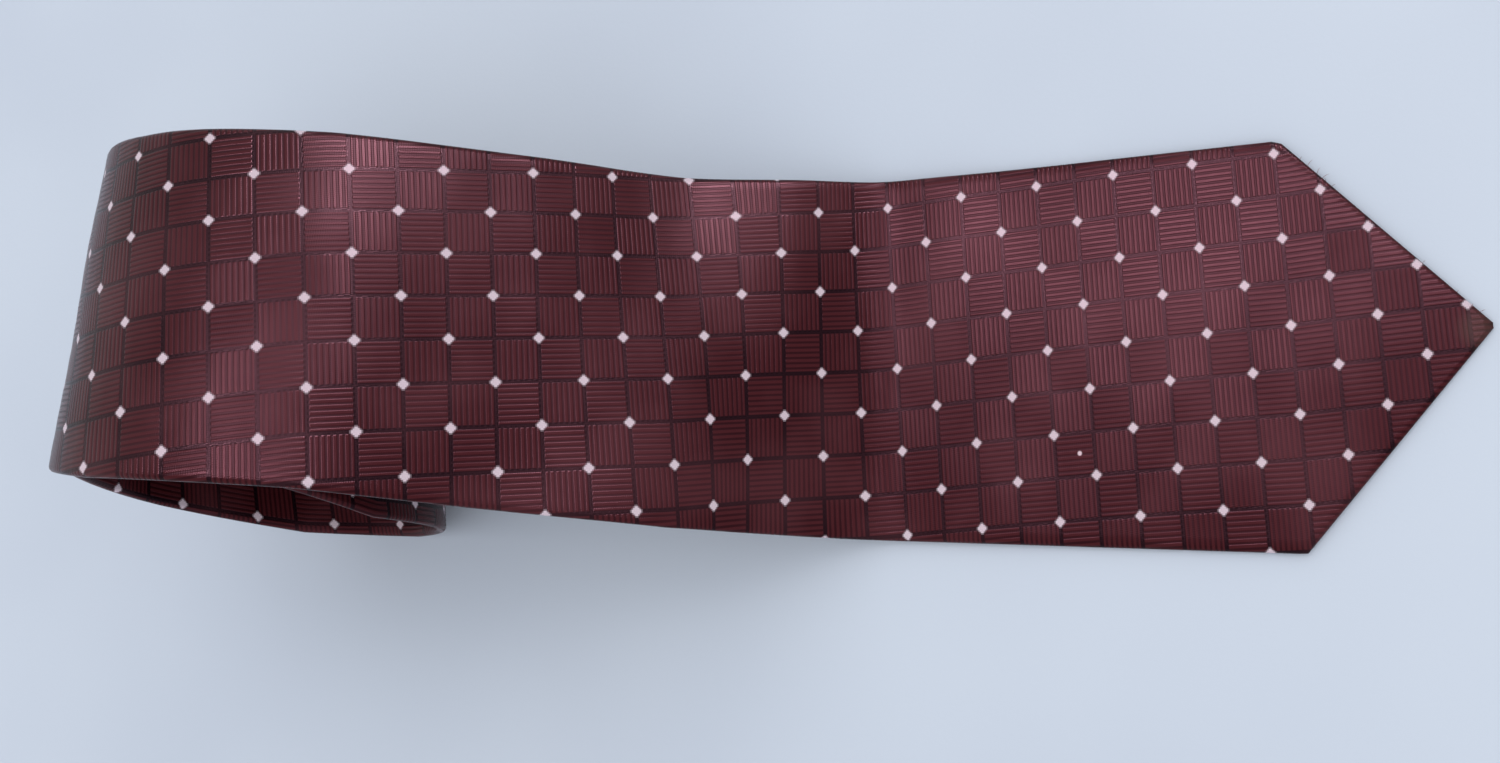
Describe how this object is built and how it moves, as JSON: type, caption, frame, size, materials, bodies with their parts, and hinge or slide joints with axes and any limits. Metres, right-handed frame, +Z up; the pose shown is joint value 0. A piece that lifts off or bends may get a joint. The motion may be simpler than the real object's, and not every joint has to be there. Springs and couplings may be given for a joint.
{
  "type": "necktie",
  "caption": "Patterned silk necktie rolled up from its narrow end, with the front blade lying flat and its pointed tip free to lift.",
  "frame": {"origin": "centre of the tie's footprint, on the surface that it rests on", "axes": "+X along the blade towards its tip, +Y across the tie, +Z up"},
  "size_m": [0.2898, 0.085, 0.0894],
  "materials": {
    "silk": "woven burgundy silk with a satin sheen",
    "lining": "plain burgundy lining with a soft sheen",
    "wool": "brushed wool interlining",
    "thread": "burgundy sewing thread",
    "label": "blank woven tag"
  },
  "bodies": {
    "roll": {"front_panel_shell": "silk", "neck_shell": "silk", "tail_shell": "silk", "roll_interlining": "wool", "tail_tipping": "lining", "tail_bar_tack": "thread", "roll_slip_stitch": "thread", "neck_seam_thread": "thread", "tail_seam_thread": "thread", "keeper_loop": "silk", "keeper_tacks": "thread", "care_tag": "label"},
    "blade": {"blade_shell": "silk", "blade_interlining": "wool", "front_tipping": "lining", "front_bar_tack": "thread", "blade_slip_stitch": "thread", "slip_stitch_slack": "thread"}
  },
  "joints": [
    {"name": "blade_lift", "type": "hinge", "parent": "roll", "child": "blade", "pos_m": [0.027, 0, 0.0023], "axis": [0, -1, 0], "range_deg": [0, 120]}
  ]
}
